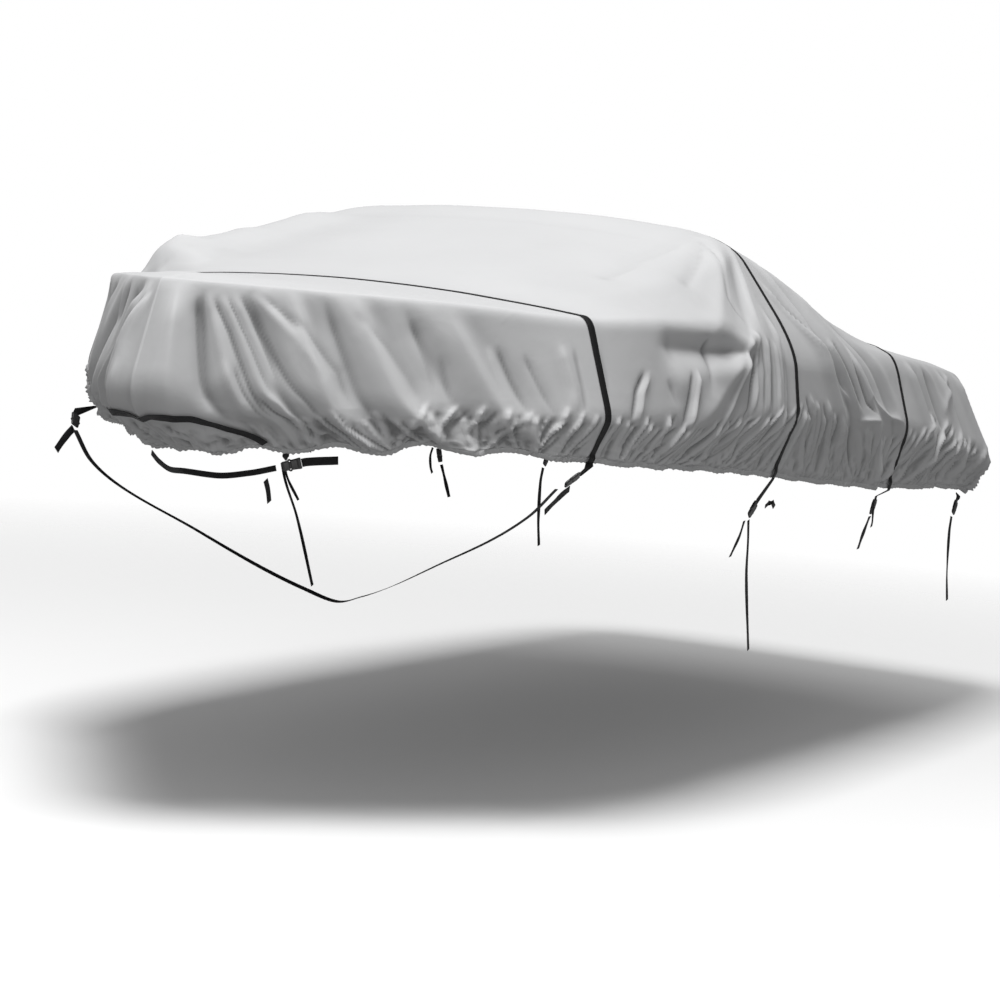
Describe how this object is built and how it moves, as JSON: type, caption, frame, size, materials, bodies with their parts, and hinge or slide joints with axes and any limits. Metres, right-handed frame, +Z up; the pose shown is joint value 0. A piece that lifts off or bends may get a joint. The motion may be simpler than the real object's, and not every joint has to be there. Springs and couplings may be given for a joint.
{
  "type": "boat cover",
  "caption": "Grey fitted trailering cover of woven polyester, draped over a high top, with sewn black webbing straps, a bow arch, buckles and ties.",
  "frame": {"origin": "on the centreline under the high top, touching the underside of the cloth", "axes": "+X towards the stern end, +Y to starboard, +Z up"},
  "size_m": [5.5283, 2.3816, 1.6381],
  "materials": {
    "polyester_cloth": "matte",
    "black_webbing": "matte",
    "black_plastic": "satin"
  },
  "bodies": {
    "root": {"belt_bow": "black_webbing", "belt_fore": "black_webbing", "bow_arch": "black_webbing", "buckle_aft_port": "black_plastic", "buckle_aft_starboard": "black_plastic", "buckle_bow": "black_plastic", "buckle_fore_port": "black_plastic", "buckle_fore_starboard": "black_plastic", "buckle_mid_port": "black_plastic", "buckle_mid_starboard": "black_plastic", "buckle_stern_port": "black_plastic", "buckle_stern_starboard": "black_plastic", "cover": "polyester_cloth", "strap_aft": "black_webbing", "strap_fore": "black_webbing", "strap_mid": "black_webbing", "tab_bow_port": "black_webbing", "tab_stern_port": "black_webbing", "tab_stern_starboard": "black_webbing", "tail_aft_port": "black_webbing", "tail_aft_starboard": "black_webbing", "tail_fore_port": "black_webbing", "tail_fore_starboard": "black_webbing", "tail_mid_port": "black_webbing", "tail_mid_starboard": "black_webbing", "tie_aft_port": "black_webbing", "tie_aft_starboard": "black_webbing", "tie_bow": "black_webbing", "tie_mid_inner_port": "black_webbing", "tie_mid_inner_starboard": "black_webbing", "tie_mid_outer_port": "black_webbing", "tie_mid_outer_starboard": "black_webbing", "tie_stern_port": "black_webbing", "tie_stern_starboard": "black_webbing"}
  },
  "joints": []
}
